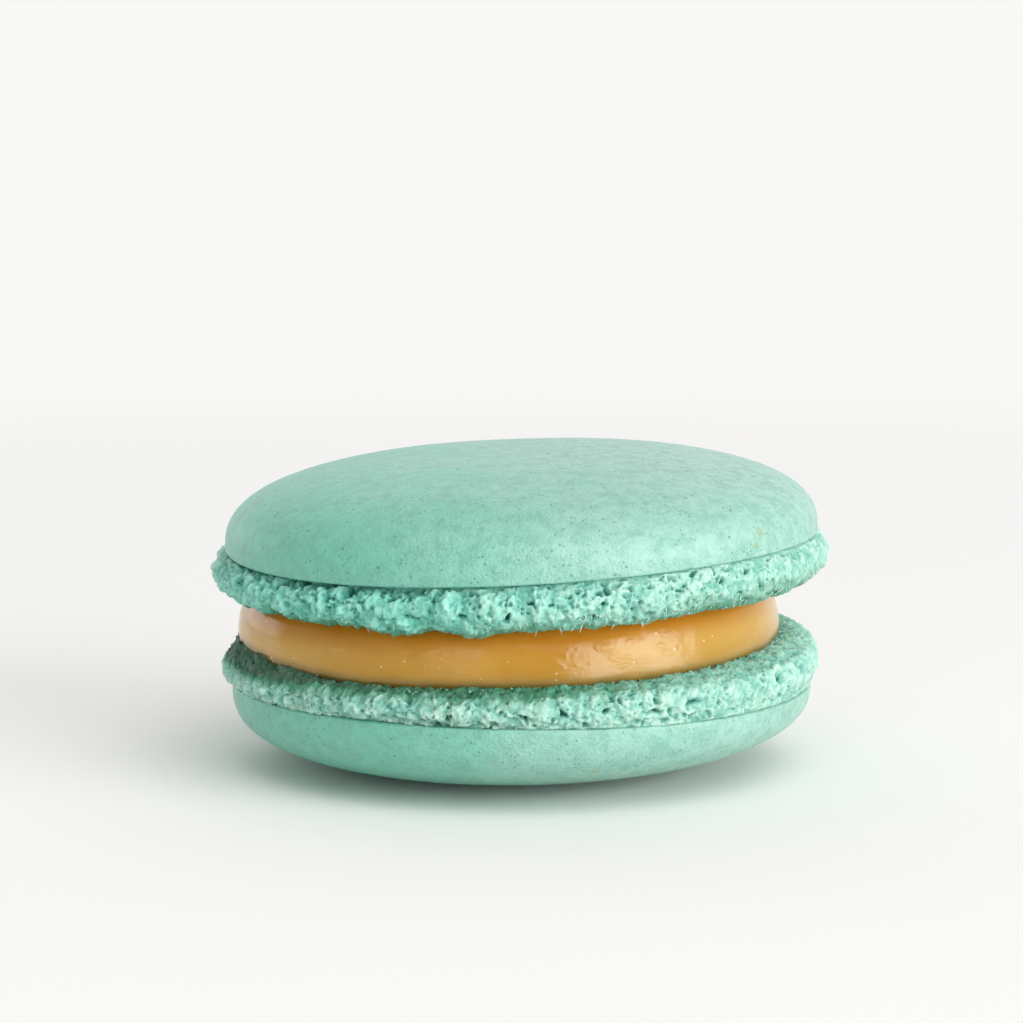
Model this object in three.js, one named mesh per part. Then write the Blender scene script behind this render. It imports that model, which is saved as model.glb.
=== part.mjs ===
// A filled almond meringue biscuit: two smooth domes with ruffled feet, and a slab of caramel between them.
// Millimetres, +Z up. The origin is the middle of the small flat spot that the lower dome stands on.
import * as THREE from "three";

// Domes: radius at the edge and height from the edge to the pole.
// Squareness is the exponent of the superellipse: 2 is an ellipse, more is boxier, and unevenness is
// added to it on the right and taken off on the left. The edge waves up and down twice round.
const TOP_DOME = { radius: 22.5, height: 6.26, squareness: 2.62, unevenness: 0.04, wave: 0.22 };
const BOTTOM_DOME = { radius: 22.05, height: 6.21, squareness: 2.53, unevenness: -0.24, wave: 0.12 };
const REST_SPOT_RADIUS = 5;
const TOP_EDGE_HEIGHT = 17.43; // of the upper dome's edge above the table
const WAVE_TURN = 96; // degrees: where the two waves round a dome's edge start
const WAVE_HOLD = 6; // exponent: how close to the edge the wave stays

// Feet: the outline from the dome's edge to the flat inner face, as [beyond the edge, away from the dome].
const TOP_FOOT = [[0, 0], [-0.6, 0.25], [0.15, 0.75], [0.35, 1.45], [0.05, 2.5], [-0.8, 3.2], [-1.9, 3.43]];
const BOTTOM_FOOT = [[0, 0], [-0.35, 0.3], [0, 0.9], [0.2, 1.7], [0, 2.5], [-0.7, 2.95], [-1.9, 3.25]];
const INNER_FACE_INSET = 3.2; // from the dome's radius in to where the foot's inner face turns flat

// Sponge lumps that the feet are made of
const LUMP_COUNT = 130;
const RELIEF_SPREAD = 0.6; // exponent: the lower, the further the lumps reach towards the foot's two ends
const SMALLEST_LUMP = 0.9; // radius
const LARGEST_LUMP = 1.8;
const LUMP_RISE = 0.8; // how far the largest stands out
const TOP_LUMP_SEED = 0.31;
const BOTTOM_LUMP_SEED = 0.77;

// Ruffles of the upper foot's free edge: [degrees round from +X, how much longer, half width in degrees]
const TOP_RUFFLES = [
  [-114, 0.3, 6],
  [-107, -0.3, 3],
  [-99, 0.32, 4],
  [-54, -0.3, 6],
  [-20, -0.2, 12],
  [70, 0.2, 9],
];

// Filling
const FILLING_RADIUS = 20.5; // widest line of its side
const FILLING_ROUNDING = 0.5; // how far the side has drawn in at its upper and lower edge
const FILLING_SHIFT = -1.2; // it was squeezed out a little further on the left
const TOUCH_GAP = 0.3; // clearance left where two pieces lie on each other

// The upper half leans: up on the right, which is +X, and down at the front, which is -Y.
const LEAN_RIGHT = 1.88;
const LEAN_FRONT = 2.08;

// Number of facets
const SHELL_SIDES = 168;
const FILLING_SIDES = 100;
const DOME_STEPS = 8;
const FOOT_STEPS = 8;
const FILLING_STEPS = 8;

const TOP_COLOUR = 0x8ad0b8;
const BOTTOM_COLOUR = 0x86ccb2;
const FILLING_COLOUR = 0xd09a4a;

const QUARTER_TURN = Math.PI / 2;
const FULL_TURN = Math.PI * 2;
const GOLDEN_RATIO = (Math.sqrt(5) - 1) / 2;
const radians = THREE.MathUtils.degToRad;
const fraction = (x) => x - Math.floor(x);
const shortestTurn = (angle) => angle - FULL_TURN * Math.round(angle / FULL_TURN);

// Height that the lean adds over the point (x, y).
const leanHeight = (x, y) => Math.tan(radians(LEAN_RIGHT)) * x + Math.tan(radians(LEAN_FRONT)) * y;

// Height of a superellipse dome over the given radius.
function superellipseHeight(dome, radius) {
  return dome.height * (1 - (radius / dome.radius) ** dome.squareness) ** (1 / dome.squareness);
}

// The flat spot presses the lower dome in, so its edge lies this high above the table.
const BOTTOM_EDGE_HEIGHT = superellipseHeight(BOTTOM_DOME, REST_SPOT_RADIUS);

// Lumps spread over the unrolled foot by steps of irrational numbers, which never line up.
function makeLumps(seed, outline) {
  const footHeight = outline.at(-1)[1];
  const lumps = [];
  for (let i = 1; i <= LUMP_COUNT; i++) {
    const size = fraction(seed + i * Math.SQRT2);
    lumps.push({
      angle: FULL_TURN * fraction(seed + i * GOLDEN_RATIO),
      depth: footHeight * fraction(seed + i * Math.sqrt(3)),
      radius: SMALLEST_LUMP + (LARGEST_LUMP - SMALLEST_LUMP) * size,
    });
  }
  return lumps;
}

// How far the foot stands out at this angle and depth: the highest of the round caps there.
function lumpRise(lumps, domeRadius, angle, depth) {
  let rise = 0;
  for (const lump of lumps) {
    const along = domeRadius * shortestTurn(angle - lump.angle);
    const across = depth - lump.depth;
    const left = 1 - (along * along + across * across) / (lump.radius * lump.radius);
    if (left > 0) {
      rise = Math.max(rise, (LUMP_RISE * lump.radius * Math.sqrt(left)) / LARGEST_LUMP);
    }
  }
  return rise;
}

// How much longer the foot is at this angle.
function ruffleLength(ruffles, angle) {
  let length = 0;
  for (const [at, amount, halfWidth] of ruffles) {
    const away = shortestTurn(angle - radians(at)) / radians(halfWidth);
    length += amount * Math.exp(-away * away);
  }
  return length;
}

// A closed body turned about Z: place(row, angle) gives [radius, height], and rows go from the lowest up.
function turnedBody(rows, sides, place) {
  const flat = Array.from({ length: rows }, () => new THREE.Vector2(1, 0));
  const geometry = new THREE.LatheGeometry(flat, sides);
  const position = geometry.getAttribute("position");
  for (let i = 0; i < position.count; i++) {
    const side = Math.floor(i / rows) % sides;
    const angle = (FULL_TURN * side) / sides;
    const [radius, height] = place(i % rows, angle);
    position.setXYZ(i, radius * Math.cos(angle), radius * Math.sin(angle), height);
  }
  geometry.computeVertexNormals();
  return geometry;
}

// One shell with its dome up: the dome's edge lies at height 0 and the foot hangs below it.
// heightShare(angle, radius) stretches the foot, where it is taller on one side than on the other.
function shellGeometry({ dome, foot, seed, ruffles, spotRadius, heightShare }) {
  const lumps = makeLumps(seed, foot);
  const outline = new THREE.SplineCurve(foot.map(([beyond, away]) => new THREE.Vector2(beyond, away)));
  const faceRows = 2;
  const edgeRow = faceRows + FOOT_STEPS;
  const edgeWave = (angle) => dome.wave * Math.cos(2 * angle + radians(WAVE_TURN));

  function domePoint(step, angle) {
    if (step === DOME_STEPS) return [0, superellipseHeight(dome, spotRadius)];
    if (step === DOME_STEPS - 1 && spotRadius > 0) return [spotRadius, superellipseHeight(dome, spotRadius)];
    const squareness = dome.squareness + dome.unevenness * Math.cos(angle);
    const turn = (QUARTER_TURN * step) / DOME_STEPS;
    const radius = dome.radius * Math.cos(turn) ** (2 / squareness);
    const height = dome.height * Math.sin(turn) ** (2 / squareness);
    return [radius, height + edgeWave(angle) * (radius / dome.radius) ** WAVE_HOLD];
  }

  function footPoint(step, angle) {
    const share = step / FOOT_STEPS;
    const { x: beyond, y: away } = outline.getPoint(share);
    const along = outline.getTangent(share);
    const middle = Math.sin(Math.PI * share);
    const rise = middle ** RELIEF_SPREAD * lumpRise(lumps, dome.radius, angle, away);
    const radius = dome.radius + beyond + rise * along.y;
    const length = away * heightShare(angle, radius) + middle * ruffleLength(ruffles, angle);
    return [radius, edgeWave(angle) * (1 - share) - length + rise * along.x];
  }

  return turnedBody(edgeRow + DOME_STEPS + 1, SHELL_SIDES, (row, angle) => {
    if (row >= edgeRow) return domePoint(row - edgeRow, angle);
    if (row >= faceRows) return footPoint(edgeRow - row, angle);
    const radius = row * (dome.radius - INNER_FACE_INSET);
    return [radius, -foot.at(-1)[1] * heightShare(angle, radius)];
  });
}

function shellMesh(name, colour, options) {
  const material = new THREE.MeshStandardMaterial({ color: colour, roughness: 0.7, metalness: 0 });
  const mesh = new THREE.Mesh(shellGeometry(options), material);
  mesh.name = name;
  return mesh;
}

// The upper shell sits dome up on the filling.
function topShell() {
  return shellMesh("top_shell", TOP_COLOUR, {
    dome: TOP_DOME,
    foot: TOP_FOOT,
    seed: TOP_LUMP_SEED,
    ruffles: TOP_RUFFLES,
    spotRadius: 0,
    heightShare: () => 1,
  });
}

// The lower shell lies dome down. Its foot is taller at the back and on the right, and so carries the lean.
function bottomShell() {
  const footHeight = BOTTOM_FOOT.at(-1)[1];
  const mesh = shellMesh("bottom_shell", BOTTOM_COLOUR, {
    dome: BOTTOM_DOME,
    foot: BOTTOM_FOOT,
    seed: BOTTOM_LUMP_SEED,
    ruffles: [],
    spotRadius: REST_SPOT_RADIUS,
    // Turned over about X, the shell's own +Y points to the front.
    heightShare: (angle, radius) => {
      return 1 + leanHeight(radius * Math.cos(angle), -radius * Math.sin(angle)) / footHeight;
    },
  });
  mesh.rotation.x = Math.PI;
  mesh.position.z = BOTTOM_EDGE_HEIGHT;
  return mesh;
}

// The filling is a round slab with a softly rounded side, between the flat faces of the shells.
function filling() {
  const low = BOTTOM_EDGE_HEIGHT + BOTTOM_FOOT.at(-1)[1] + TOUCH_GAP - TOP_EDGE_HEIGHT;
  const high = -TOP_FOOT.at(-1)[1] - TOUCH_GAP;
  const geometry = turnedBody(FILLING_STEPS + 3, FILLING_SIDES, (row) => {
    const up = THREE.MathUtils.clamp((row - 1) / FILLING_STEPS, 0, 1);
    const height = THREE.MathUtils.lerp(low, high, up);
    if (row === 0 || row === FILLING_STEPS + 2) return [0, height];
    return [FILLING_RADIUS - FILLING_ROUNDING * (2 * up - 1) ** 4, height];
  });
  const material = new THREE.MeshStandardMaterial({ color: FILLING_COLOUR, roughness: 0.25, metalness: 0 });
  const mesh = new THREE.Mesh(geometry, material);
  mesh.name = "filling";
  mesh.position.x = FILLING_SHIFT;
  return mesh;
}

const upperHalf = new THREE.Group();
upperHalf.position.z = TOP_EDGE_HEIGHT;
upperHalf.rotation.set(radians(LEAN_FRONT), radians(-LEAN_RIGHT), 0, "YXZ");
upperHalf.add(topShell(), filling());

const biscuit = new THREE.Group();
biscuit.add(bottomShell(), upperHalf);

export default biscuit;
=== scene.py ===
# %% [markdown]
# A filled macaron, built as a baker would describe it: two piped almond meringue halves, each with a
# smooth skin on top and a ruffled, spongy foot below, and a slab of soft caramel between them.
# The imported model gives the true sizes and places. Here every part of it gets its real surface.
# All shapes are worked out with numpy in millimetres and turned to metres when they become a mesh.

import math

import bpy
import numpy as np
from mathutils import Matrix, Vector


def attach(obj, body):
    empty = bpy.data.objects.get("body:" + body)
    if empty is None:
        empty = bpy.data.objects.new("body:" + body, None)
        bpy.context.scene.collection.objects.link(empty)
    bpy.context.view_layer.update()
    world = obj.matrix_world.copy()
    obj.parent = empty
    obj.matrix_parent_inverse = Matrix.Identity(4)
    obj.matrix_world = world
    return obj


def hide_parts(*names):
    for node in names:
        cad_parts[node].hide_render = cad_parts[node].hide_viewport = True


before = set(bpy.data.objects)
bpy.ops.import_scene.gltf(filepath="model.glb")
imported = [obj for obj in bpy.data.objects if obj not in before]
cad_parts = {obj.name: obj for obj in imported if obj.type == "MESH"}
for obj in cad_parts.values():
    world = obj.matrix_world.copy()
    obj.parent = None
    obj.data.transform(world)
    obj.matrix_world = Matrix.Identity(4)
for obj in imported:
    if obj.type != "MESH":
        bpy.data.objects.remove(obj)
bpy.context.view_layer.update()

MM = 0.001
FULL_TURN = 2 * math.pi

# %% [markdown]
# The camera comes first, because everything is judged through it. The photograph is taken from just above
# the table with a long lens: the far rim of the upper half is only a little higher in the picture than
# its near rim, and both rims are nearly the same width, so the view is close to a side view.

# %% Camera
LENS = 100
CAMERA_ELEVATION = math.radians(6.42)
CAMERA_DISTANCE = 216.5
CAMERA_AIM = Vector((-0.756, 0, 19.06))

back = Vector((0, -math.cos(CAMERA_ELEVATION), math.sin(CAMERA_ELEVATION)))
camera = bpy.data.objects.new("camera", bpy.data.cameras.new("camera"))
camera.data.lens = LENS
camera.data.clip_start = 0.01
camera.location = (CAMERA_AIM + back * CAMERA_DISTANCE) * MM
camera.rotation_euler = back.to_track_quat("Z", "Y").to_euler()
bpy.context.scene.collection.objects.link(camera)
bpy.context.scene.camera = camera
print("camera at", [round(x / MM) for x in camera.location], "mm")

# %% [markdown]
# Sponge, curds and crumbs all need noise. Two kinds are enough. Soft noise gives slow swells: random
# numbers on a grid of cubes, blended smoothly between the corners. Cell noise gives bubbles and curds:
# one random point in each cube, and the distances from a place to the nearest two of them. Both work on
# whole arrays of places at once, and both are the same in every run, because the random numbers are
# hashes of the cube's own coordinates.

# %% Noise
HASH_PRIMES = (374761393, 668265263, 1274126177, 974711, 39916801)
HASH_BITS = 0xFFFFFFFF
HASH_STEPS = 0x1000000


def cube_random(cubes, seed, draw=0):
    """A number from 0 to 1 for each cube: its coordinates times primes, added, then mixed twice."""
    px, py, pz, ps, pd = HASH_PRIMES
    mixed = cubes[..., 0] * px + cubes[..., 1] * py + cubes[..., 2] * pz + seed * ps + draw * pd
    mixed = mixed & HASH_BITS
    mixed = ((mixed ^ (mixed >> 13)) * pz) & HASH_BITS
    mixed = ((mixed ^ (mixed >> 15)) * px) & HASH_BITS
    return ((mixed ^ (mixed >> 16)) % HASH_STEPS) / HASH_STEPS


def smooth_step(low, high, x):
    """0 below low, 1 above high, and 3t^2 - 2t^3 between them."""
    t = np.clip((x - low) / (high - low), 0, 1)
    return t * t * (3 - 2 * t)


def soft_noise(points, size, seed):
    """From -1 to 1: random corners of cubes of this size, blended with smooth_step along each axis."""
    scaled = points / size
    cubes = np.floor(scaled).astype(np.int64)
    blend = smooth_step(0, 1, scaled - cubes)
    total = np.zeros(points.shape[:-1])
    for corner in np.ndindex(2, 2, 2):
        weight = np.prod(np.where(corner, blend, 1 - blend), axis=-1)
        total += weight * cube_random(cubes + np.array(corner), seed)
    return 2 * total - 1


def noise_vector(points, size, seed):
    """Three soft noises side by side, for bending a pattern out of shape."""
    return np.stack([soft_noise(points, size, seed + i) for i in range(3)], axis=-1)


def cell_noise(points, size, seed):
    """Distances to the nearest two cell points, in sizes, and a random number of the nearest cell."""
    scaled = points / size
    cubes = np.floor(scaled).astype(np.int64)
    nearest = np.full(points.shape[:-1], 9.0)
    second = nearest.copy()
    own = np.zeros(points.shape[:-1])
    for step in np.ndindex(3, 3, 3):
        cube = cubes + np.array(step) - 1
        offset = np.stack([cube_random(cube, seed, draw) for draw in (1, 2, 3)], axis=-1)
        distance = np.linalg.norm(cube + offset - scaled, axis=-1)
        closer = distance < nearest
        second = np.where(closer, nearest, np.minimum(second, distance))
        own = np.where(closer, cube_random(cube, seed, 4), own)
        nearest = np.where(closer, distance, nearest)
    return nearest, second, own


def facet_noise(points, size, seed):
    """Flat facets: each cell has its own height, from -1 to 1, and its own slope, at most 1 per size."""
    scaled = points / size
    cubes = np.floor(scaled).astype(np.int64)
    nearest = np.full(points.shape[:-1], 9.0)
    height = np.zeros(points.shape[:-1])
    for step in np.ndindex(3, 3, 3):
        cube = cubes + np.array(step) - 1
        offset = np.stack([cube_random(cube, seed, draw) for draw in (1, 2, 3)], axis=-1)
        slope = 2 * np.stack([cube_random(cube, seed, draw) for draw in (5, 6, 7)], axis=-1) - 1
        from_point = scaled - cube - offset
        distance = np.linalg.norm(from_point, axis=-1)
        facet = 2 * cube_random(cube, seed, 4) - 1 + (from_point * slope).sum(axis=-1)
        height = np.where(distance < nearest, facet, height)
        nearest = np.minimum(nearest, distance)
    return height


# %% [markdown]
# Most of the macaron is round, so one mesh maker serves it all: rows of points that run round the axis,
# stacked from the lowest row to the highest. The first and the last row have shrunk to a single point
# each, which closes the body. Going round to the left and then up makes the faces point outwards.

# %% Mesh maker for round bodies
def round_mesh(name, points, **attributes):
    """A closed mesh from points[row, side, xyz] in mm: quads between rows, triangles round the two poles."""
    rows, sides = points.shape[:2]
    inner = (rows - 2) * sides
    grid = 1 + np.arange(inner).reshape(rows - 2, sides)
    beside = np.roll(grid, -1, axis=1)
    quads = np.stack([grid[:-1], beside[:-1], beside[1:], grid[1:]], axis=-1).reshape(-1, 4)
    low_pole = np.stack([np.zeros(sides, int), beside[0], grid[0]], axis=-1)
    high_pole = np.stack([np.full(sides, inner + 1), grid[-1], beside[-1]], axis=-1)
    corners = np.concatenate([quads.ravel(), low_pole.ravel(), high_pole.ravel()])
    quad_starts = np.arange(len(quads)) * 4
    triangle_starts = len(quads) * 4 + np.arange(2 * sides) * 3

    def one_per_vertex(values):
        """The two poles' values stand for their whole rows."""
        between = values[1:-1].reshape(inner, *values.shape[2:])
        return np.concatenate([values[:1, 0], between, values[-1:, 0]])

    mesh = bpy.data.meshes.new(name)
    mesh.vertices.add(inner + 2)
    mesh.vertices.foreach_set("co", (one_per_vertex(points) * MM).astype(np.float32).ravel())
    mesh.loops.add(len(corners))
    mesh.loops.foreach_set("vertex_index", corners.astype(np.int32))
    mesh.polygons.add(len(quads) + 2 * sides)
    mesh.polygons.foreach_set("loop_start", np.concatenate([quad_starts, triangle_starts]).astype(np.int32))
    mesh.update(calc_edges=True)
    mesh.polygons.foreach_set("use_smooth", np.ones(len(mesh.polygons), bool))
    for key, values in attributes.items():
        layer = mesh.attributes.new(key, "FLOAT", "POINT")
        layer.data.foreach_set("value", one_per_vertex(values).astype(np.float32))
    piece = bpy.data.objects.new(name, mesh)
    bpy.context.scene.collection.objects.link(piece)
    print(name, len(mesh.vertices), "points,", 2 * len(quads) + 2 * sides, "triangles")
    return piece


def on_circle(radius, around, height):
    """Points from cylinder coordinates: (radius cos, radius sin, height)."""
    return np.stack(np.broadcast_arrays(radius * np.cos(around), radius * np.sin(around), height), axis=-1)


def angles(count):
    """Angles round the axis, one row of them."""
    return FULL_TURN * np.arange(count)[None, :] / count


def middle_row(height, sides):
    """A row that has shrunk to the point on the axis at this height."""
    return np.zeros((1, sides, 3)) + np.array([0, 0, height])


def with_ends(values):
    """The first and the last row twice, for the two rows that close the body."""
    return np.concatenate([values[:1], values, values[-1:]])


SPLINE_SAMPLES = 40


def spline_path(controls, step):
    """Points about one step apart on a Catmull-Rom spline through the controls."""
    controls = np.array(controls, float)
    before = 2 * controls[:1] - controls[1:2]
    after = 2 * controls[-1:] - controls[-2:-1]
    padded = np.concatenate([before, controls, after])
    t = np.linspace(0, 1, SPLINE_SAMPLES, endpoint=False)[None, :, None]
    p0, p1, p2, p3 = (padded[i : len(padded) - 3 + i][:, None, :] for i in range(4))
    dense = 0.5 * (
        2 * p1 + (p2 - p0) * t + (2 * p0 - 5 * p1 + 4 * p2 - p3) * t**2 + (3 * p1 - p0 - 3 * p2 + p3) * t**3
    )
    dense = np.concatenate([dense.reshape(-1, 2), controls[-1:]])
    walked = np.concatenate([[0], np.cumsum(np.linalg.norm(np.diff(dense, axis=0), axis=1))])
    at = np.linspace(0, walked[-1], int(walked[-1] / step) + 1)
    return np.stack([np.interp(at, walked, dense[:, i]) for i in range(2)], axis=-1), at


# %% [markdown]
# Each half is worked out upright, with its smooth dome up and the dome's edge at height 0, and is then put
# in its place. The lower half is turned over onto its dome. The upper half leans: the caramel was squeezed
# thinner at the front left than at the back right, so it is turned by about two degrees each way.

# %% Places of the two halves
LEAN_RIGHT = math.radians(1.88)
LEAN_FRONT = math.radians(2.08)
TOP_EDGE_HEIGHT = 17.43
BOTTOM_EDGE_HEIGHT = 6.152


def turn_pair(a, b, angle):
    """Two coordinates turned by the angle, from the first axis towards the second."""
    return a * math.cos(angle) - b * math.sin(angle), a * math.sin(angle) + b * math.cos(angle)


def lean_upper(points):
    """Turns about X, which lowers the front, then about Y, which raises the right, then lifts into place."""
    x, y, z = points[..., 0], points[..., 1], points[..., 2]
    y, z = turn_pair(y, z, LEAN_FRONT)
    x, z = turn_pair(x, z, LEAN_RIGHT)
    return np.stack([x, y, z + TOP_EDGE_HEIGHT], axis=-1)


def turn_over(points):
    """Half a turn about X, then up to the edge's height."""
    return points * np.array([1, -1, -1]) + np.array([0, 0, BOTTOM_EDGE_HEIGHT])


def lean_height(x, y):
    """How much higher the leaning plane is over (x, y)."""
    return math.tan(LEAN_RIGHT) * x + math.tan(LEAN_FRONT) * y


# %% [markdown]
# The smooth skin is a superellipse turned round the axis: flatter on top than an ellipse and steeper at its
# edge. A subdivided cage would need its edge held by hand, while the formula keeps the measured outline.
# Batter never dries quite even, so the skin gets slow swells and a very fine orange peel. At its edge
# the skin rolls under sharply, and the foot starts in the shade behind it.

# %% Domes
TOP_DOME = {"radius": 22.5, "height": 6.26, "squareness": 2.62, "unevenness": 0.04, "wave": 0.22}
BOTTOM_DOME = {"radius": 22.05, "height": 6.21, "squareness": 2.53, "unevenness": -0.24, "wave": -0.12}
REST_SPOT_RADIUS = 5
WAVE_TURN = math.radians(96)
WAVE_HOLD = 6
DOME_SIDES = 720
DOME_ROWS = 74
EDGE_ROLL = 0.18
EDGE_ROWS = 7
UNDERSIDE_INSETS = (30.0, 2.5, 0.9)  # the first row shrinks to the middle
SWELL = (0.05, 9)  # height and size
PEEL = (0.008, 0.7)


def edge_wave(dome, around):
    """The edge rises and falls twice round."""
    return dome["wave"] * np.cos(2 * around + WAVE_TURN)


def dome_surface(dome, spot_radius, seed):
    """radius = R cos(t)^(2/n) and height = h sin(t)^(2/n), with t from the edge to the pole. Below the edge
    comes a quarter roll, and then the hidden underside. The rest spot cuts the height off."""
    around = angles(DOME_SIDES)
    turn = np.linspace(0, math.pi / 2, DOME_ROWS)[:, None]
    squareness = dome["squareness"] + dome["unevenness"] * np.cos(around)
    radius = dome["radius"] * np.cos(turn) ** (2 / squareness)
    height = dome["height"] * np.sin(turn) ** (2 / squareness)
    height += edge_wave(dome, around) * (radius / dome["radius"]) ** WAVE_HOLD
    radius[-1] = 0
    height[-1] = height[-1].mean()
    points = on_circle(radius, around, height)
    swell = SWELL[0] * soft_noise(points, SWELL[1], seed) + PEEL[0] * soft_noise(points, PEEL[1], seed + 1)
    inward = smooth_step(0, 1.5, height)
    points[..., 2] += swell * inward
    if spot_radius:
        power = dome["squareness"]
        level = dome["height"] * (1 - (spot_radius / dome["radius"]) ** power) ** (1 / power)
        points[..., 2] = np.minimum(points[..., 2], level)
    points[-1] = points[-1].mean(axis=0)
    roll = np.linspace(math.pi / 2, 0, EDGE_ROWS, endpoint=False)[:, None]
    roll_radius = dome["radius"] - EDGE_ROLL * (1 - np.cos(roll))
    roll_height = edge_wave(dome, around) - EDGE_ROLL * np.sin(roll)
    inset = np.array(UNDERSIDE_INSETS)[:, None]
    underside = on_circle(dome["radius"] - inset, around, edge_wave(dome, around) - EDGE_ROLL)
    underside[0] = (0, 0, -EDGE_ROLL)
    return np.concatenate([underside, on_circle(roll_radius, around, roll_height), points])


top_skin = round_mesh("top_skin", lean_upper(dome_surface(TOP_DOME, 0, seed=11)))
bottom_skin = round_mesh("bottom_skin", turn_over(dome_surface(BOTTOM_DOME, REST_SPOT_RADIUS, seed=21)))

# %% [markdown]
# The foot is what rose under the skin in the oven: a ring of burst foam. Seen close it is heaped like a
# cauliflower, curds of a millimetre or two that carry smaller curds and crumbs. Bubbles have left round
# dents with thin walls between them, and some, mostly close under the skin, have torn open into dark
# holes. A displace modifier with a texture would only push at one scale. Here the scales are added up.

# %% Sponge
CURDS = ((1.5, 0.23), (0.70, 0.10), (0.33, 0.050))
FOLDS = ((0.9, 0.08), (0.36, 0.04))
FACETS = ((0.80, 0.080), (0.40, 0.052), (0.24, 0.028))
CURD_REACH = 0.7
BUBBLE_SIZE = 0.55
PINHOLE_SIZE = 0.28


def sponge(points, holes, seed):
    """Height in mm: folds, heaps of amount (1 - (distance / reach)^2), and the torn facets of dry crumb, each
    in several sizes, minus bubbles. A bubble is deep in its middle and ends at a thin wall, where two cell
    points are equally far. holes, from 0 to 1 for each place, says how many bubbles have torn open."""
    bent = points + 0.24 * noise_vector(points, 1.0, seed) + 0.09 * noise_vector(points, 0.34, seed + 3)
    height = np.zeros(points.shape[:-1])
    for i, (size, amount) in enumerate(FOLDS):
        height += amount * (1 - 2 * np.abs(soft_noise(bent, size, seed + 30 + i)))
    for i, (size, amount) in enumerate(CURDS):
        distance, _, _ = cell_noise(bent, size, seed + 7 + i)
        height += amount * (1 - (distance / CURD_REACH) ** 2)
    for i, (size, amount) in enumerate(FACETS):
        height += amount * facet_noise(bent, size, seed + 40 + i)
    near, far, own = cell_noise(bent, BUBBLE_SIZE, seed + 11)
    torn = smooth_step(-0.04, 0.04, own - (1 - 0.03 - 0.24 * holes))
    height -= (0.02 + 0.04 * own + 0.42 * torn) * smooth_step(0.05, 0.40, far - near)
    near, far, own = cell_noise(bent, PINHOLE_SIZE, seed + 12)
    height -= (0.02 + 0.26 * smooth_step(0.75, 0.85, own)) * smooth_step(0.05, 0.45, far - near)
    return height


def blurred(values, times):
    """Each value moves towards its neighbours' mean, times over: a blur of about sqrt(times / 2) steps."""
    for _ in range(times):
        values = (np.roll(values, 1, axis=1) + 2 * values + np.roll(values, -1, axis=1)) / 4
        padded = with_ends(values)
        values = (padded[:-2] + 2 * values + padded[2:]) / 4
    return values


# %% [markdown]
# A foot's outline runs from its root under the skin's edge, over the bulge, and round the free edge onto
# the inner face that the caramel sticks to. The outline is a short list of points, as [beyond the dome's
# edge, away from the dome], joined by a spline, and sampled finely only where it shows. It is carried
# round the axis, and the sponge is added along the outline's own normal. What stands proud of its
# surroundings is painted pale, as painted light, and what lies deep is painted dark, as painted shade, so
# the height above the blurred height is kept as an attribute for the colour.

# %% Feet
FOOT_SIDES = 1300
FINE_STEP = 0.1
COARSE_STEP = 0.35
TOP_FOOT = [(-2.4, -0.1), (-0.9, -0.12), (-0.5, 0.15), (-0.35, 0.5), (0.22, 1.0), (0.46, 1.6), (0.2, 2.5),
            (-0.6, 3.2), (-1.9, 3.5), (-3.6, 3.5)]
BOTTOM_FOOT = [(-2.4, -0.1), (-0.9, -0.12), (-0.42, 0.15), (-0.25, 0.6), (0.18, 1.2), (0.36, 1.9), (0.1, 2.6),
               (-0.7, 3.0), (-1.9, 3.3), (-3.8, 3.35)]
ROOT_END = 1.9
FACE_LENGTH = 1.4
TUCK_LEVEL = 0.48
TUCK_SPREAD = 0.5
TORN_LEVEL = 0.8
TORN_SPREAD = 0.55
# Changes round the axis, as bell curves: (middle in degrees, amount, half width in degrees)
TOP_RUFFLES = [
    (-114, 0.3, 6), (-107, -0.3, 3), (-99, 0.32, 4), (-54, -0.3, 6), (-20, -0.2, 12), (70, 0.2, 9),
]
TOP_BULGES = [(178, 0.35, 16), (-150, 0.15, 9), (-28, 0.12, 10)]
TOP_TUCKS = [(-140, 0.35, 22), (-112, 0.15, 16), (-42, -0.24, 34), (60, 0.2, 30), (120, 0.25, 20)]
BOTTOM_TUCKS = [(105, 0.30, 18), (42, -0.26, 36), (-110, 0.2, 25)]
BOTTOM_RAMP = [(172, 1.15, 40), (98, 0.25, 25)]
# Painted shade on the front left of each foot, away from the big window:
TOP_LEFT_SHADE = [(-130, 1.15, 42)]
BOTTOM_LEFT_SHADE = [(150, 0.2, 30)]
# Bands darkened towards the free edge, feeding the fat stain and painted shade:
TOP_DARKENING = [(-40, 0.50, 30)]
BOTTOM_DARKENING = [(92, 0.16, 28)]
# (degrees round, mm from the dome's edge, half width, half height, depth)
TOP_HOLLOWS = [
    (-154, 1.3, 0.50, 0.35, 0.50),
    (-134, 0.5, 0.45, 0.25, 0.50),
    (-127, 1.3, 0.30, 0.25, 0.50),
    (-123, 0.8, 0.50, 0.30, 0.55),
    (-54, 0.5, 0.22, 0.20, 0.50),
    (-43, 2.1, 0.30, 0.30, 0.50),
]
BOTTOM_HOLLOWS = [
    (34, 2.2, 0.60, 0.45, 0.65),
    (58, 1.7, 0.60, 0.30, 0.60),
    (66, 1.4, 0.45, 0.22, 0.55),
    (89, 1.3, 0.45, 0.25, 0.50),
    (112, 1.0, 0.60, 0.25, 0.45),
]


def bells(list_of_bells, around):
    """A sum of bell curves round the axis, each given as (middle, amount, half width), angles in degrees."""
    total = np.zeros_like(around)
    for middle, amount, half_width in list_of_bells:
        away = (np.degrees(around) - middle + 180) % 360 - 180
        total += amount * np.exp(-((away / half_width) ** 2))
    return total


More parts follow.
